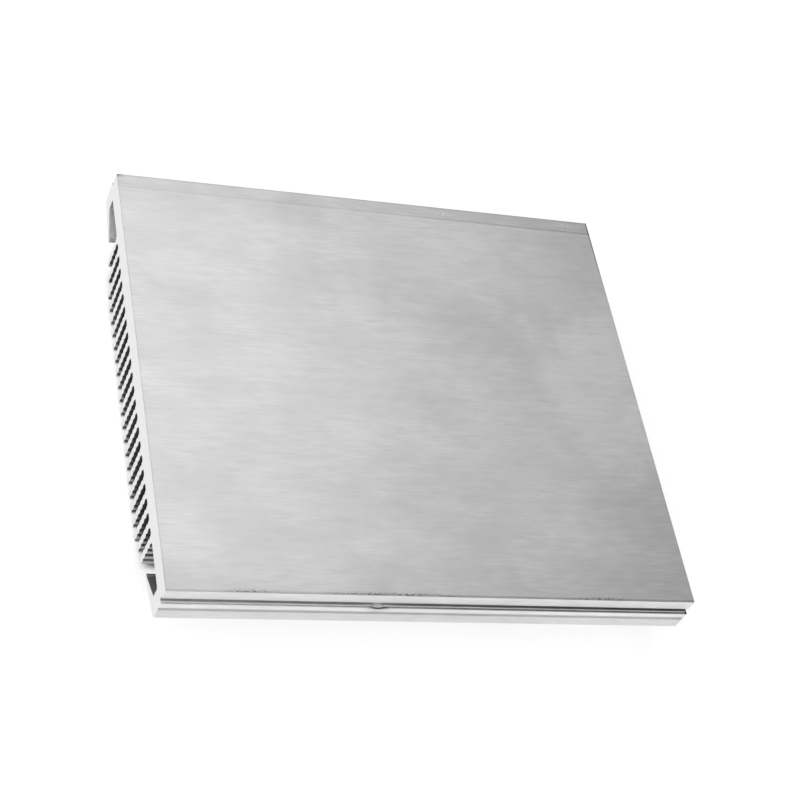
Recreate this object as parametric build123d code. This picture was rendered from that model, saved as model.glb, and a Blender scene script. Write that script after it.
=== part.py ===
"""Extruded aluminium comb heat sink, cut to length from a bar.

The whole sink is one extrusion. Its section is a flat base plate with 23 thin
ridged fins below it, and a stiff rail down each long side. Each rail has a
narrow mounting groove outside, over a creased ledge, and a flange that slants
in under a wide side channel and ends in a round bead. Lengths are in
millimetres. X runs along the extrusion, Y across the fins and Z up. The origin
is under the middle of the sink, at the level of its fin tips.
"""
import os

from build123d import *

# Overall size
length = 100.0
top_width = 90.0
height = 15.0

# Base plate
base_thickness = 4.4
top_edge_radius = 0.2

# Fins, all the same section, set evenly about the middle
fin_count = 23
fin_pitch = 2.947
fin_waist = 0.86
ridge_height = 0.29
ridge_pitch = 1.65
ridge_flank = 0.42
first_ridge_below_root = 0.3
root_chamfer = 0.3
tip_chamfer = 0.3

# The outermost fins get shorter towards the sides
short_fin_span = 6.75
short_fin_slope = 0.445

# Side rails, with depths measured down from the top face
rail_thickness = 2.85
lip_overhang = 0.55
rail_depth = 8.65
rail_corner_radius = 0.9

# Mounting groove in the outside of each rail, above a ledge
groove_top = 2.55
groove_height = 0.82
groove_depth = 0.4

# Crease in the ledge, behind its rounded lip
crease_from_lip = 0.23
crease_width = 0.2
crease_depth = 0.16
lip_radius = 0.1

# Fine line along the outer face of each rail
line_below_top = 5.2
line_width = 0.7
line_depth = 0.2

# Flange that slants inwards from the foot of each rail to a round bead
flange_root_below_top = 7.0
flange_upper_slope = 0.48
channel_corner_radius = 0.4
bead_radius = 0.45
bead_inwards = 8.35
bead_below_top = 9.9

# Knock in the lip of the front rail, near its left end
dent_from_left_end = 38.6
dent_length = 2.7
dent_depth = 0.42

half_width = top_width / 2
root_z = height - base_thickness
same_level = 0.001


def fin_length_at(y):
    """Give the length of the fin at y, shorter near the two sides."""
    outermost = fin_pitch * (fin_count - 1) / 2
    past_the_flat = abs(y) - (outermost - short_fin_span)
    return root_z - short_fin_slope * max(0.0, past_the_flat)


def ridged_strip():
    """Draw one long fin whose two faces are rows of flat-topped ridges."""
    waist = fin_waist / 2
    crest = waist + ridge_height
    half_crest = ridge_pitch / 2 - ridge_flank
    top_ridge = -first_ridge_below_root
    ridge_count = int(root_z / ridge_pitch) + 2
    with BuildSketch() as strip:
        with BuildLine():
            for side in (-1, 1):
                for ridge in range(ridge_count):
                    middle = top_ridge - ridge * ridge_pitch
                    Polyline(
                        (side * waist, middle + ridge_pitch / 2),
                        (side * crest, middle + half_crest),
                        (side * crest, middle - half_crest),
                        (side * waist, middle - ridge_pitch / 2),
                    )
            highest = top_ridge + ridge_pitch / 2
            lowest = highest - ridge_count * ridge_pitch
            Line((-waist, highest), (waist, highest))
            Line((-waist, lowest), (waist, lowest))
        make_face()
    return strip.sketch


def fin_outline(strip, fin_length):
    """Cut the ridged strip to one fin's length, with its tip corners chamfered."""
    crest_width = fin_waist + 2 * ridge_height
    above_root = ridge_pitch / 4
    with BuildSketch() as limit:
        with Locations((0, (above_root - fin_length) / 2)):
            Rectangle(crest_width, fin_length + above_root)
        chamfer(limit.vertices().group_by(Axis.Y)[0], tip_chamfer)
    return strip & limit.sketch


def rail_outline(side):
    """Draw one rail with its groove, creased ledge, fine line and beaded flange."""
    inner = rail_thickness
    outer = -lip_overhang
    ledge = groove_top + groove_height
    crease = outer + crease_from_lip
    bead_foot = bead_below_top + bead_radius
    flange_end = flange_root_below_top + flange_upper_slope * (bead_inwards - inner)
    joined = base_thickness / 2

    def point(inwards, depth):
        return (side * (half_width - inwards), height - depth)

    corners = [
        point(0, 0),
        point(0, groove_top),
        point(groove_depth, groove_top),
        point(groove_depth, ledge),
        point(crease + crease_width / 2, ledge),
        point(crease, ledge + crease_depth),
        point(crease - crease_width / 2, ledge),
        point(outer, ledge),
        point(outer, line_below_top - line_width / 2),
        point(outer + line_depth, line_below_top),
        point(outer, line_below_top + line_width / 2),
        point(outer, rail_depth),
        point(bead_inwards, bead_foot),
        point(bead_inwards, flange_end),
        point(inner, flange_root_below_top),
        point(inner, joined),
        point(inner + joined, joined),
        point(inner + joined, 0),
    ]
    radii = {
        point(0, 0): top_edge_radius,
        point(outer, ledge): lip_radius,
        point(outer, rail_depth): rail_corner_radius,
        point(inner, flange_root_below_top): channel_corner_radius,
    }
    outline = make_face(Polyline(*corners, close=True))
    for place, radius in radii.items():
        nearest = outline.vertices().sort_by_distance(Vector(*place))[0]
        outline = fillet(nearest, radius)
    return outline + Pos(*point(bead_inwards, bead_below_top)) * Circle(bead_radius)


def section():
    """Join the base plate, the fins and the two rails into one outline."""
    plate_width = top_width - 2 * rail_thickness
    plate = Pos(0, height - base_thickness / 2) * Rectangle(plate_width, base_thickness)
    strip = ridged_strip()
    fins = []
    for number in range(fin_count):
        y = (number - (fin_count - 1) / 2) * fin_pitch
        fins.append(Pos(y, root_z) * fin_outline(strip, fin_length_at(y)))
    outline = plate + fins + [rail_outline(-1), rail_outline(1)]
    roots = [corner for corner in outline.vertices() if abs(corner.Y - root_z) < same_level]
    return chamfer(roots, root_chamfer)


def lip_dent():
    """Make the round-bottomed knock that the front lip has taken."""
    radius = (dent_length ** 2 / 4 + dent_depth ** 2) / (2 * dent_depth)
    reach = 2 * (lip_overhang + groove_depth)
    x = dent_from_left_end - length / 2
    y = -half_width - lip_overhang
    lip_z = height - groove_top - groove_height
    hollow = Pos(x, y, lip_z - dent_depth + radius) * Rot(90, 0, 0) * Cylinder(radius, reach)
    room = groove_height + 2 * dent_depth
    under_the_groove_roof = Pos(x, y, height - groove_top - room / 2) * Box(4 * radius, reach, room)
    return hollow & under_the_groove_roof


heat_sink = extrude(Plane.YZ * section(), length / 2, both=True)
heat_sink -= lip_dent()

os.makedirs("parts", exist_ok=True)
export_step(heat_sink, "parts/heat_sink.step")
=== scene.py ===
"""Looks of the extruded aluminium heat sink: its finish, a white studio and the camera."""
import math

import bpy
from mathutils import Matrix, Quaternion, Vector

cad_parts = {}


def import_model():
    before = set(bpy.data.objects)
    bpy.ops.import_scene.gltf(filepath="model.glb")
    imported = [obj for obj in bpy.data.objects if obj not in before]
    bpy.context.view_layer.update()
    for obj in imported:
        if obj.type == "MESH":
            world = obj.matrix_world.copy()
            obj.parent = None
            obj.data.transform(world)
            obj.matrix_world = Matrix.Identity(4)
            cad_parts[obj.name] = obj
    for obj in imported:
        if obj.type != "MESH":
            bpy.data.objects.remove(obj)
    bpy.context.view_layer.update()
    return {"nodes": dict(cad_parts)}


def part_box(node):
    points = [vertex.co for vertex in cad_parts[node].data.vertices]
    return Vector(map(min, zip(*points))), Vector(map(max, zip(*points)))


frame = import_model()

MM = 0.001

# The camera of the photograph, in the frame of the sink
CAMERA_PLACE = Vector((-134.77, -195.21, 280.51)) * MM
CAMERA_AIM = Vector((-0.895, -3.557, 15.0)) * MM
CAMERA_ROLL = math.radians(31.33)
CAMERA_LENS = 86.01
CAMERA_SENSOR = 36.0
CAMERA_SEES_FROM = 0.01
CAMERA_SEES_TO = 20.0

# Size of the sink, from the frame: its box in metres, and its ends and top in millimetres
LOW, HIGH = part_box("heat_sink")
LEFT_END = LOW.x / MM
RIGHT_END = HIGH.x / MM
TOP_Z = HIGH.z / MM

# Places on the section of the sink, in millimetres, as the CAD has them
TOP_EDGE = 45.0
CHANNEL_WALL = 42.15
ROOT_Z = 10.6
TOP_RIDGE_Z = 10.3
RIDGE_PITCH = 1.65
GROOVE_ROOF_Z = 12.45
LEDGE_Z = 11.63
FINE_LINE_Z = 9.8

# Places worked out from those: levels just below a feature, and a slack past a face
BELOW_TOP_Z = TOP_Z - 0.3
BELOW_LEDGE_Z = LEDGE_Z - 0.1
BELOW_CREASE_Z = LEDGE_Z - 0.18
BELOW_GROOVE_Z = LEDGE_Z - 0.25
BELOW_DENT_Z = LEDGE_Z - 0.5
BELOW_FINE_LINE_Z = FINE_LINE_Z - 0.6
SLACK = 0.05

# How squarely a face looks up, down or along the sink where that begins to count, and where
# it counts in full
FACING = (0.8, 0.95)

# How soft a step is, in millimetres, how lines and patches fade, in parts of their size, and
# between which values a noise mostly stays
STEP_SOFT = 0.06
LINE_CORE = 0.25
LINE_END = 0.75
PATCH_END = 1.8
NOISE_SPREAD = (0.25, 0.75)


def camera():
    """Place the camera where the photograph was taken from."""
    data = bpy.data.cameras.new("camera")
    data.lens = CAMERA_LENS
    data.sensor_width = CAMERA_SENSOR
    data.clip_start = CAMERA_SEES_FROM
    data.clip_end = CAMERA_SEES_TO
    holder = bpy.data.objects.new("camera", data)
    bpy.context.scene.collection.objects.link(holder)
    level = (CAMERA_AIM - CAMERA_PLACE).to_track_quat("-Z", "Y")
    holder.location = CAMERA_PLACE
    holder.rotation_mode = "QUATERNION"
    holder.rotation_quaternion = level @ Quaternion((0, 0, 1), CAMERA_ROLL)
    bpy.context.scene.camera = holder


class Shader:
    """A short way to write shader nodes: each call adds nodes and returns an output."""

    def __init__(self, tree):
        self.tree = tree
        self.tree.nodes.clear()

    def add(self, kind, inputs=(), output=0, **settings):
        """Add one node, with its inputs linked or set, and give one of its outputs."""
        node = self.tree.nodes.new(kind)
        for name, value in settings.items():
            setattr(node, name, value)
        for key, value in dict(inputs).items():
            if isinstance(value, bpy.types.NodeSocket):
                self.tree.links.new(value, node.inputs[key])
            else:
                node.inputs[key].default_value = value
        return node.outputs[output] if node.outputs else None

    def math(self, operation, *values):
        return self.add("ShaderNodeMath", dict(enumerate(values)), operation=operation)

    def sum(self, *parts):
        total = parts[0]
        for part in parts[1:]:
            total = self.math("ADD", total, part)
        return total

    def product(self, *parts):
        total = parts[0]
        for part in parts[1:]:
            total = self.math("MULTIPLY", total, part)
        return total

    def inverse(self, value):
        return self.math("SUBTRACT", 1.0, value)

    def distance(self, first, second):
        """Give the distance that two parts at a right angle add up to."""
        squares = self.sum(self.product(first, first), self.product(second, second))
        return self.math("SQRT", squares)

    def ramp(self, value, low, high, to_low=0.0, to_high=1.0, smooth=True):
        """Go from one value to another while the input goes from low to high."""
        values = {
            "Value": value,
            "From Min": low,
            "From Max": high,
            "To Min": to_low,
            "To Max": to_high,
        }
        kind = "SMOOTHSTEP" if smooth else "LINEAR"
        return self.add("ShaderNodeMapRange", values, interpolation_type=kind)

    def step_up(self, value, at, soft=STEP_SOFT):
        return self.ramp(value, at - soft, at + soft)

    def step_down(self, value, at, soft=STEP_SOFT):
        return self.ramp(value, at - soft, at + soft, 1.0, 0.0)

    def line(self, value, middle, width, change):
        """Give the change on a thin line where the value is at its middle."""
        away = self.math("ABSOLUTE", self.math("SUBTRACT", value, middle))
        return self.ramp(away, width * LINE_CORE, width * LINE_END, change, 0.0)

    def patch(self, across, along, middle, reach, change):
        """Give the change in a soft round patch."""
        first = self.math("DIVIDE", self.math("SUBTRACT", across, middle[0]), reach[0])
        second = self.math("DIVIDE", self.math("SUBTRACT", along, middle[1]), reach[1])
        return self.ramp(self.distance(first, second), 0.0, PATCH_END, change, 0.0)

    def stretch(self, vector, scale, shift=(0, 0, 0)):
        return self.add("ShaderNodeMapping", {"Vector": vector, "Scale": scale, "Location": shift})

    def noise(self, vector, layer):
        """Give a noise round 0.5, from a layer of scale, shift, detail and roughness."""
        scale, shift, detail, roughness = layer
        values = {
            "Vector": self.stretch(vector, scale, shift),
            "Scale": 1.0,
            "Detail": detail,
            "Roughness": roughness,
        }
        return self.add("ShaderNodeTexNoise", values)

    def swing(self, noise, reach):
        """Turn a noise round 0.5 into a change of up to reach either way."""
        return self.ramp(noise, *NOISE_SPREAD, -reach, reach, smooth=False)

    def split(self, vector):
        node = self.tree.nodes.new("ShaderNodeSeparateXYZ")
        self.tree.links.new(vector, node.inputs[0])
        return node.outputs[0], node.outputs[1], node.outputs[2]

    def blend(self, factor, first, second):
        return self.add("ShaderNodeMix", {0: factor, 2: first, 3: second}, data_type="FLOAT")

    def grey(self, value):
        return self.add("ShaderNodeCombineColor", {0: value, 1: value, 2: value})

    def seen_by(self, *rays):
        """Give 1 for these kinds of ray and 0 for the others."""
        path = self.tree.nodes.new("ShaderNodeLightPath")
        seen = path.outputs[rays[0]]
        for ray in rays[1:]:
            seen = self.math("MAXIMUM", seen, path.outputs[ray])
        return seen


class Place:
    """Where a shading point is on the sink, in millimetres, and which way it faces."""

    def __init__(self, s):
        self.mm = s.stretch(s.add("ShaderNodeTexCoord", output="Object"), (1 / MM,) * 3)
        self.x, self.y, self.z = s.split(self.mm)
        self.aside = s.math("ABSOLUTE", self.y)
        self.near = s.step_down(self.y, 0.0)
        self.rightward = s.ramp(self.x, LEFT_END, RIGHT_END)
        along, _, upward = s.split(s.add("ShaderNodeTexCoord", output="Normal"))
        self.end = s.ramp(s.math("ABSOLUTE", along), *FACING)
        self.up = s.ramp(upward, *FACING)
        self.down = s.ramp(s.product(upward, -1.0), *FACING)


# Greys of the metal, from 0 to 1, with the painted shade of its slots, channels and grooves
# and the painted light on the fin crests; a pair is for the left end and the right end
DRAWN_GREY = 0.85
SAWN_GREY = 0.81
VALLEY_SHADE_GREY = 0.25
CREST_LIGHT_GREY = 0.42
CHANNEL_SHADE_GREY = 0.5
GROOVE_SHADE_GREY = (0.62, 0.34)

# Roughness and relief of the metal; the drawn faces go from one roughness to the other where
# the clouds in them go from faint to strong
DRAWN_ROUGHNESS = (0.41, 0.37)
ROUGH_CLOUD = (0.35, 0.65)
SAWN_ROUGHNESS = 0.5
RUBBED_ROUGHNESS = 0.9
RELIEF_STRENGTH = 0.35
RELIEF_DEPTH = 0.02 * MM

# Layers of noise: features per millimetre each way, shift, detail and roughness
HAIR = ((0.12, 6.0, 6.0), (0, 0, 0), 2.0, 0.6)
STROKE = ((0.26, 2.6, 2.6), (3.1, 7.7, 1.3), 2.0, 0.6)
MOTTLE = ((0.22, 0.7, 0.7), (6.3, 2.7, 8.3), 2.0, 0.55)
CLOUD = ((0.07, 0.11, 0.11), (5.3, 1.1, 2.2), 3.0, 0.5)
BAND = ((0.006, 0.6, 0.6), (1.7, 2.9, 4.1), 2.0, 0.55)
WAVE = ((0.15, 0.15, 0.15), (4.4, 8.8, 1.1), 3.0, 0.6)
SPECK = ((1.6, 3.0, 3.0), (2.0, 5.0, 7.0), 2.0, 0.6)
GRIT = ((4.0, 4.0, 4.0), (0, 0, 0), 3.0, 0.6)
SAW_WOBBLE = ((0.0, 0.12, 0.12), (9.0, 2.0, 5.0), 2.0, 0.5)

# How far each layer changes the tone either way, in parts of 1
HAIR_TONE = 0.02
STROKE_TONE = 0.045
MOTTLE_TONE = 0.035
CLOUD_TONE = 0.042
BAND_TONE = 0.012
GRIT_TONE = 0.05

# How much the fine and the coarse texture show at the left end and at the right end
FINE_SHARE = (0.88, 1.16)
COARSE_SHARE = (0.6, 1.7)

# Where the clouds make the strokes fainter and stronger, and by how much
PATCHY_CLOUD = (0.4, 0.6)
PATCHY_SHARE = (0.5, 1.3)

# Strokes are stronger next to the left sawn edge
SAWN_EDGE_REACH = 6.0
SAWN_EDGE_SHARE = 1.8


def drawn_finish(s, at):
    """Give the tone, the relief and the clouds of faces that came out of the die."""
    hair = s.noise(at.mm, HAIR)
    stroke = s.noise(at.mm, STROKE)
    cloud = s.noise(at.mm, CLOUD)
    strokes = s.sum(s.swing(stroke, STROKE_TONE), s.swing(hair, HAIR_TONE))
    sawn_edge = s.ramp(at.x, LEFT_END, LEFT_END + SAWN_EDGE_REACH, SAWN_EDGE_SHARE, 1.0)
    patchy = s.ramp(cloud, *PATCHY_CLOUD, *PATCHY_SHARE)
    mottle = s.swing(s.noise(at.mm, MOTTLE), MOTTLE_TONE)
    fine = s.sum(s.product(strokes, sawn_edge, patchy), mottle)
    coarse = s.sum(s.swing(cloud, CLOUD_TONE), s.swing(s.noise(at.mm, BAND), BAND_TONE))
    tone = s.sum(
        1.0,
        s.product(fine, s.blend(at.rightward, *FINE_SHARE)),
        s.product(coarse, s.blend(at.rightward, *COARSE_SHARE)),
    )
    return tone, s.blend(0.5, hair, stroke), cloud


# The saw's arcs on the ends: their pitch and radius in millimetres, how far they wander in
# radians, how much they change the tone, and their share of the relief beside the grit
SAW_PITCH = 0.45
SAW_RADIUS = 170.0
SAW_WANDER = 2.5
SAW_TONE = 0.02
SAW_RELIEF = 0.35
GRIT_RELIEF = 0.5


def sawn_finish(s, at):
    """Give the tone and the relief of the two sawn ends, crossed by the arcs of the blade."""
    from_axle = s.distance(at.y, s.sum(at.z, SAW_RADIUS))
    turned = s.product(from_axle, 2 * math.pi / SAW_PITCH)
    wobble = s.product(s.noise(at.mm, SAW_WOBBLE), SAW_WANDER)
    saw = s.math("SINE", s.sum(turned, wobble))
    grit = s.noise(at.mm, GRIT)
    tone = s.sum(1.0, s.product(saw, SAW_TONE), s.swing(grit, GRIT_TONE))
    relief = s.sum(s.product(saw, SAW_RELIEF), s.product(grit, GRIT_RELIEF))
    return tone, relief


# Lighter and darker patches on the top face: place and reach in millimetres, and change of tone
TOP_PATCHES = (
    ((37.5, 5.0), (9.0, 12.0), 0.09),
    ((47.0, 13.0), (7.0, 9.0), 0.12),
    ((44.0, -8.0), (8.0, 8.0), 0.08),
    ((50.0, -5.0), (4.0, 5.0), 0.14),
    ((28.5, -30.0), (6.0, 5.0), 0.06),
    ((23.0, 33.5), (5.0, 6.0), 0.05),
    ((-4.0, 20.0), (6.0, 6.0), 0.04),
    ((46.0, -24.0), (11.0, 7.0), -0.09),
    ((46.0, -36.0), (12.0, 8.0), -0.08),
    ((24.0, 15.0), (9.0, 8.0), -0.06),
    ((25.0, -1.0), (6.0, 9.0), -0.05),
    ((6.0, 22.0), (8.0, 9.0), -0.05),
    ((5.0, -6.0), (7.0, 5.0), -0.04),
    ((0.0, -22.5), (11.0, 7.0), -0.05),
    ((12.0, 14.0), (12.0, 8.0), -0.05),
    ((-30.0, -24.0), (16.0, 11.0), -0.05),
    ((-42.0, 16.0), (9.0, 6.0), -0.05),
    ((7.0, -31.0), (16.0, 6.0), -0.07),
    ((10.0, -40.0), (15.0, 6.0), -0.05),
    ((8.0, -15.0), (14.0, 8.0), -0.04),
    ((-11.0, 28.0), (9.0, 9.0), -0.06),
    ((35.0, 18.0), (7.0, 6.0), -0.05),
    ((48.0, 34.0), (8.0, 9.0), -0.06),
    ((-12.0, 39.5), (4.5, 5.0), -0.06),
    ((-12.0, -41.0), (4.5, 5.0), -0.06),
)
WAVE_REACH = 5.0

# Painted shade: the top face is darker towards its long sides, and most along the near one
SIDES_SHADE_FROM = 33.0
SIDES_SHADE = -0.08
NEAR_SIDE_SHADE_TO = -36.0
NEAR_SIDE_SHADE = -0.03


def top_patches(s, at):
    """Give the wavy lighter and darker patches, and the painted shade towards the long sides."""
    wave = s.swing(s.noise(at.mm, WAVE), WAVE_REACH)
    wavy_x = s.sum(at.x, wave)
    wavy_y = s.math("SUBTRACT", at.y, wave)
    patches = [s.patch(wavy_x, wavy_y, *patch) for patch in TOP_PATCHES]
    sides = s.ramp(at.aside, SIDES_SHADE_FROM, TOP_EDGE, 0.0, SIDES_SHADE)
    near_side = s.ramp(at.y, -TOP_EDGE, NEAR_SIDE_SHADE_TO, NEAR_SIDE_SHADE, 0.0)
    return s.sum(*patches, sides, near_side)


# Strip along the far edge of the top face, in millimetres, with the place, width and change
# of its two lines, a painted shade line and a painted highlight line; all of it is faint at the
# left and grows from there to the right end
STRIP_FROM = 41.94
STRIP_SOFT = 0.1
STRIP_CHANGE = -0.06
STRIP_SHADE_LINE = (STRIP_FROM, 0.34, -0.26)
STRIP_HIGHLIGHT_LINE = (STRIP_FROM - 0.5, 0.3, 0.07)
STRIP_FAINT_TO = -20.0
STRIP_FAINT = 0.3


def far_strip(s, at):
    """Give the darker strip along the far edge, with its painted shade line and painted highlight
    line.
    """
    strip = s.product(s.step_up(at.y, STRIP_FROM, STRIP_SOFT), STRIP_CHANGE)
    lines = s.sum(s.line(at.y, *STRIP_SHADE_LINE), s.line(at.y, *STRIP_HIGHLIGHT_LINE))
    stronger = s.ramp(at.x, STRIP_FAINT_TO, RIGHT_END, STRIP_FAINT, 1.0, smooth=False)
    return s.product(s.sum(strip, lines), stronger)


# Speckled marks on the top face: place and reach in millimetres, and change of tone
SCUFFS = (
    ((17.0, 43.4), (2.6, 0.45), 0.3),
    ((45.0, 43.7), (2.4, 0.6), 0.3),
)
DINGS = (
    ((-9.0, -TOP_EDGE), (10.0, 0.6), -0.5),
    ((31.5, -TOP_EDGE), (5.0, 0.6), -0.5),
    ((-35.5, -TOP_EDGE), (3.5, 0.6), -0.5),
)
SPECK_EDGE = (0.45, 0.6)


def speckled_marks(s, at):
    """Give the light scuffs on the far strip and the dark dings along the near edge."""
    speck = s.ramp(s.noise(at.mm, SPECK), *SPECK_EDGE)
    patches = [s.patch(at.x, at.y, *mark) for mark in SCUFFS + DINGS]
    return s.product(speck, s.sum(*patches))


# Lines on the edges of the top face: width in millimetres and change of tone. The sawn ends and
# the long edges get painted shade; the darker line at the right end grows towards the far side,
# and the near edge is darker from the middle on
END_EDGE_SHADE = (0.3, -0.22)
RIGHT_END_DARK_LINE = (0.6, -0.4)
RIGHT_END_DARK_GROWS = (25.0, 42.0)
EDGE_SHADE_WIDTH = 0.8
FAR_EDGE_SHADE = -0.12
NEAR_EDGE_SHADE = (-0.15, -0.3)
NEAR_EDGE_SHADE_GROWS_TO = -10.0
KNOCKED_CORNER = ((LEFT_END, TOP_EDGE), (1.2, 0.8), -0.4)


def edge_shade_and_corner(s, at):
    """Give the painted shade on the sawn and long edges, the dark line at the right end and the
    knocked corner.
    """
    end_shade = s.line(s.math("ABSOLUTE", at.x), RIGHT_END, *END_EDGE_SHADE)
    right_dark_line = s.line(at.x, RIGHT_END, *RIGHT_END_DARK_LINE)
    right_dark_line = s.product(right_dark_line, s.ramp(at.y, *RIGHT_END_DARK_GROWS))
    near_shade = s.ramp(at.x, LEFT_END, NEAR_EDGE_SHADE_GROWS_TO, *NEAR_EDGE_SHADE)
    near_edge = s.line(at.y, -TOP_EDGE, EDGE_SHADE_WIDTH, near_shade)
    far_edge = s.line(at.y, TOP_EDGE, EDGE_SHADE_WIDTH, FAR_EDGE_SHADE)
    return s.sum(end_shade, right_dark_line, near_edge, far_edge, s.patch(at.x, at.y, *KNOCKED_CORNER))


def top_marks(s, at):
    """Give the change of tone from all that marks the top face."""
    parts = [top_patches(s, at), far_strip(s, at), speckled_marks(s, at), edge_shade_and_corner(s, at)]
    return s.product(s.sum(*parts), at.up, s.step_up(at.z, BELOW_TOP_Z))


# Outer faces of the rails, in millimetres: where they begin, their top, where along the sink
# they look as at the right end, and the painted shade on each stretch of their height; a pair
# is for the left end and the right end
RAIL_OUTSIDE = 44.8
RAIL_TOP_Z = TOP_Z - 0.1
RIGHT_LOOK_FROM = 45.0
UPPER_SHADE = (-0.11, -0.15)
LIP_SHADE = -0.06
LOWER_SHADE = -0.13

# Lines along them, in millimetres, and their change of tone: a painted highlight on the ledge,
# and painted shade in the fine line and in the crease
LEDGE_WIDTH = 0.3
LEDGE_HIGHLIGHT = 0.29
FINE_LINE_WIDTH = 1.1
FINE_LINE_SHADE = -0.24
CREASE_ASIDE = 45.4
CREASE_WIDTH = 0.36
CREASE_SHADE = (-0.3, -0.85)
CREASE_SOFT = 0.05

# Painted shade at the dark end of the groove at the right: place, width and change of tone
GROOVE_END_SHADE = (RIGHT_END - 0.1, 0.5, -0.7)

# Dent and bruise of the near rail in x and z, in millimetres, with their change: the painted light
# in the dent's hollow, where it is rubbed, its length along x, the painted shade on its edge in
# line with the crease, and the bruise below it
DENT = (-11.4, 11.3)
DENT_HOLLOW_LIGHT = (DENT, (2.0, 0.6), 0.3)
DENT_RUBBED = (DENT, (2.4, 0.8), 1.4)
DENT_LENGTH = (-11.2, 3.0, 1.0)
DENT_EDGE_SHADE = (CREASE_ASIDE, 0.28, -0.85)
BRUISE = ((-11.3, 10.9), (1.6, 0.8), -0.15)


def dent_marks(s, at):
    """Give the painted light in the hollow of the dent, with the painted shade on the edge along
    it.
    """
    tone = s.sum(s.patch(at.x, at.z, *DENT_HOLLOW_LIGHT), s.line(at.aside, *DENT_EDGE_SHADE))
    return s.product(tone, s.line(at.x, *DENT_LENGTH), at.near, s.step_up(at.z, BELOW_DENT_Z))


def side_lines(s, at, to_right):
    """Give the painted lines along the rails: a highlight on the ledge, and shade in its crease, at
    the groove's end and in the fine line.
    """
    ledge = s.line(at.z, LEDGE_Z, LEDGE_WIDTH, LEDGE_HIGHLIGHT)
    fine_line = s.line(at.z, FINE_LINE_Z, FINE_LINE_WIDTH, FINE_LINE_SHADE)
    crease = s.line(at.aside, CREASE_ASIDE, CREASE_WIDTH, s.blend(to_right, *CREASE_SHADE))
    crease = s.product(crease, s.step_up(at.z, BELOW_CREASE_Z, CREASE_SOFT))
    in_groove = s.product(
        s.step_up(at.z, BELOW_LEDGE_Z),
        s.step_down(at.z, GROOVE_ROOF_Z + SLACK),
    )
    groove_end = s.product(s.line(at.x, *GROOVE_END_SHADE), in_groove)
    return s.sum(ledge, crease, groove_end, fine_line)


def side_marks(s, at):
    """Give the painted shade and light, the dent and the bruise on the outer faces of the rails."""
    to_right = s.ramp(s.ramp(at.x, LEFT_END, RIGHT_LOOK_FROM), 0.0, 1.0)
    upper = s.step_up(at.z, GROOVE_ROOF_Z - SLACK)
    parts = [
        s.product(upper, s.blend(to_right, *UPPER_SHADE)),
        s.product(s.step_down(at.z, BELOW_LEDGE_Z), LIP_SHADE),
        s.product(s.step_down(at.z, BELOW_FINE_LINE_Z), LOWER_SHADE),
        side_lines(s, at, to_right),
        dent_marks(s, at),
        s.product(s.patch(at.x, at.z, *BRUISE), at.near),
    ]
    outside = s.product(s.step_up(at.aside, RAIL_OUTSIDE), s.step_down(at.z, RAIL_TOP_Z))
    return s.product(s.sum(*parts), outside)


def painted_hollow_shade(s, at):
    """Give 1 in the slots, channels and grooves, where shade is painted, and 0 elsewhere."""
    below_roots = s.step_down(at.z, ROOT_Z + SLACK)
    under = s.product(below_roots, s.step_down(at.aside, CHANNEL_WALL + SLACK))
    covered = s.product(under, s.inverse(at.down))
    groove = s.product(
        s.step_up(at.z, BELOW_GROOVE_Z),
        s.step_down(at.z, GROOVE_ROOF_Z + SLACK),
        s.step_down(at.aside, TOP_EDGE),
    )
    return s.product(s.math("MAXIMUM", covered, groove), s.inverse(at.end))


# Faces with painted shade, in millimetres: where the channels begin, how high the painted light
# on the brighter fin tips reaches, and between which heights the painted shade on the far
# channel's wall gets darker
CHANNEL_FROM = 34.2
TIPS_REACH_Z = 2.5
TIPS_LIGHT_SHARE = 1.8
FAR_WALL_SHADE_GROWS = (7.5, 10.6)

# Where the painted light on a ridge of the fins begins and is full, on a cosine across it
RIDGE_LIGHT_EDGE = (-0.2, 0.9)


def hollow_shade_grey(s, at):
    """Give the painted shade and light of the hollows: streaky on the ridged fins, plain in the
    channels.
    """
    # Painted light on the fin crests and painted shade in the valleys, lighter still at the fin
    # tips
    turned = s.product(s.math("SUBTRACT", TOP_RIDGE_Z, at.z), 2 * math.pi / RIDGE_PITCH)
    ridged = s.ramp(s.math("COSINE", turned), *RIDGE_LIGHT_EDGE, VALLEY_SHADE_GREY, CREST_LIGHT_GREY)
    fins = s.product(ridged, s.ramp(at.z, 0.0, TIPS_REACH_Z, TIPS_LIGHT_SHARE, 1.0))
    far_wall = s.ramp(at.z, *FAR_WALL_SHADE_GROWS, 1.0, CHANNEL_SHADE_GREY)
    walls = s.blend(at.near, far_wall, CHANNEL_SHADE_GREY)
    under = s.blend(s.step_up(at.aside, CHANNEL_FROM), fins, walls)
    grooves = s.blend(at.rightward, *GROOVE_SHADE_GREY)
    return s.blend(s.step_up(at.aside, CHANNEL_WALL + SLACK), under, grooves)


# The ledge is rubbed from here outwards, in millimetres
LEDGE_FROM = 45.03


def rubbed(s, at):
    """Give 1 on the rubbed ledge and in the dent, and 0 elsewhere."""
    ledge = s.product(s.step_up(at.aside, LEDGE_FROM), s.line(at.z, LEDGE_Z, LEDGE_WIDTH, 1.0))
    dent = s.product(s.patch(at.x, at.z, *DENT_RUBBED), at.near, s.step_up(at.z, BELOW_DENT_Z))
    return s.math("MINIMUM", s.math("MAXIMUM", ledge, dent), 1.0)


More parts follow.
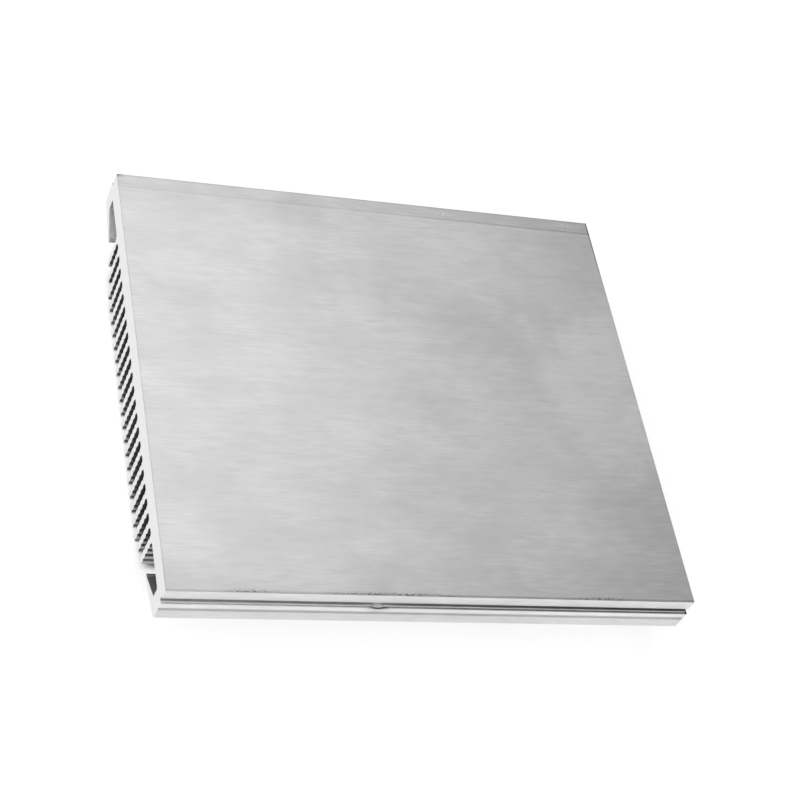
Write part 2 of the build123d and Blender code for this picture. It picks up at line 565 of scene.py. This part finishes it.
def aluminium():
    """Mill-finish aluminium, drawn along X, with sawn ends, darker edges and painted shade in the
    slots.
    """
    material = bpy.data.materials.new("aluminium")
    material.use_nodes = True
    s = Shader(material.node_tree)
    at = Place(s)
    drawn_tone, drawn_relief, cloud = drawn_finish(s, at)
    sawn_tone, sawn_relief = sawn_finish(s, at)
    drawn_tone = s.sum(drawn_tone, top_marks(s, at), side_marks(s, at))
    # Painted shade in the slots, channels and grooves, and painted light on the fin crests and tips
    drawn_base = s.blend(painted_hollow_shade(s, at), DRAWN_GREY, hollow_shade_grey(s, at))
    drawn_grey = s.product(drawn_tone, drawn_base)
    tint = s.blend(at.end, drawn_grey, s.product(sawn_tone, SAWN_GREY))
    drawn_rough = s.ramp(cloud, *ROUGH_CLOUD, *DRAWN_ROUGHNESS)
    drawn_rough = s.blend(rubbed(s, at), drawn_rough, RUBBED_ROUGHNESS)
    relief = {
        "Height": s.blend(at.end, drawn_relief, sawn_relief),
        "Strength": RELIEF_STRENGTH,
        "Distance": RELIEF_DEPTH,
    }
    surface = {
        "Base Color": s.grey(tint),
        "Metallic": 1.0,
        "Roughness": s.blend(at.end, drawn_rough, SAWN_ROUGHNESS),
        "Normal": s.add("ShaderNodeBump", relief),
    }
    shader = s.add("ShaderNodeBsdfPrincipled", surface)
    s.add("ShaderNodeOutputMaterial", {"Surface": shader})
    return material


# The floor, in metres: its half width, its grey, with a painted shadow that darkens it under the
# fins, and the glow that lifts it to white, which begins a little way in under the rails
FLOOR_REACH = 3.0
FLOOR_GREY = 0.55
UNDER_FINS_SHADOW_GREY = 0.2
FINS_REACH = 0.032
FINS_SOFT = 0.001
FINS_END_SOFT = 0.003
FLOOR_GLOW = 0.65
GLOW_FROM = -0.013
GLOW_FULL = -0.004


def floor_material():
    """A matt white that glows to the camera and in reflections, but not below the sink."""
    material = bpy.data.materials.new("floor")
    material.use_nodes = True
    s = Shader(material.node_tree)
    x, y, _ = s.split(s.add("ShaderNodeTexCoord", output="Object"))
    along = s.math("ABSOLUTE", x)
    aside = s.math("ABSOLUTE", y)
    under_fins = s.product(
        s.step_down(aside, FINS_REACH, FINS_SOFT),
        s.ramp(along, HIGH.x - FINS_END_SOFT, HIGH.x, 1.0, 0.0),
    )
    # Painted shadow under the fins
    grey = s.blend(under_fins, FLOOR_GREY, UNDER_FINS_SHADOW_GREY)
    matt = s.add("ShaderNodeBsdfDiffuse", {"Color": s.grey(grey)})
    beyond_end = s.math("SUBTRACT", along, HIGH.x)
    beyond_side = s.math("SUBTRACT", aside, HIGH.y)
    beyond = s.math("MAXIMUM", beyond_end, beyond_side)
    strength = s.product(
        s.ramp(beyond, GLOW_FROM, GLOW_FULL, 0.0, FLOOR_GLOW),
        s.inverse(under_fins),
        s.seen_by("Is Camera Ray", "Is Glossy Ray", "Is Transmission Ray"),
    )
    glow = s.add("ShaderNodeEmission", {"Strength": strength})
    s.add("ShaderNodeOutputMaterial", {"Surface": s.add("ShaderNodeAddShader", {0: matt, 1: glow})})
    return material


def floor():
    """A white floor that still takes the sink's shadow."""
    mesh = bpy.data.meshes.new("floor")
    corners = [(-FLOOR_REACH, -FLOOR_REACH), (FLOOR_REACH, -FLOOR_REACH)]
    corners += [(FLOOR_REACH, FLOOR_REACH), (-FLOOR_REACH, FLOOR_REACH)]
    mesh.from_pydata([(x, y, LOW.z) for x, y in corners], [], [(0, 1, 2, 3)])
    mesh.materials.append(floor_material())
    plane = bpy.data.objects.new("floor", mesh)
    bpy.context.scene.collection.objects.link(plane)


# Light of the room by how far a direction leans to the bright side, from -1 to 1: each part
# goes from one strength to another between two such leans
BRIGHT_SIDE = Vector((-0.88, 0.15, 0.45)).normalized()
LEFT_LIGHT = (-0.12, 0.18, 0.08, 1.05)
FAR_LEFT_LIGHT = (0.4, 0.8, 0.0, -0.3)
RIGHT_LIGHT = (-0.8, -0.35, 0.55, 0.0)


def world():
    """White to the camera, and a soft room that is brighter on the left."""
    room = bpy.data.worlds.new("studio")
    bpy.context.scene.world = room
    room.use_nodes = True
    s = Shader(room.node_tree)
    lean = s.add(
        "ShaderNodeVectorMath",
        {0: s.add("ShaderNodeTexCoord", output="Generated"), 1: tuple(BRIGHT_SIDE)},
        output="Value",
        operation="DOT_PRODUCT",
    )
    lights = [s.ramp(lean, *light) for light in (LEFT_LIGHT, FAR_LEFT_LIGHT, RIGHT_LIGHT)]
    shown = s.math("MAXIMUM", s.sum(*lights), s.seen_by("Is Camera Ray"))
    glow = s.add("ShaderNodeBackground", {"Color": (1, 1, 1, 1), "Strength": shown})
    s.add("ShaderNodeOutputWorld", {"Surface": glow})


# The large key lamp at the left and the smaller one in front: place and size in metres, and
# power in watts
LAMPS = {
    "key": ((-0.75, 0.1, 0.55), 1.2, 1.1),
    "front": ((-0.2, -0.8, 0.5), 1.0, 0.8),
}


def lamps():
    """Add the soft square lamps, aimed at the middle of the sink."""
    for name, (place, size, power) in LAMPS.items():
        data = bpy.data.lights.new(name, "AREA")
        data.size = size
        data.energy = power
        holder = bpy.data.objects.new(name, data)
        bpy.context.scene.collection.objects.link(holder)
        holder.location = place
        holder.rotation_mode = "QUATERNION"
        holder.rotation_quaternion = (-Vector(place)).to_track_quat("-Z", "Y")


metal = aluminium()
for slot in frame["nodes"]["heat_sink"].material_slots:
    slot.material = metal
floor()
world()
lamps()
camera()
bpy.context.scene.view_settings.view_transform = "Standard"
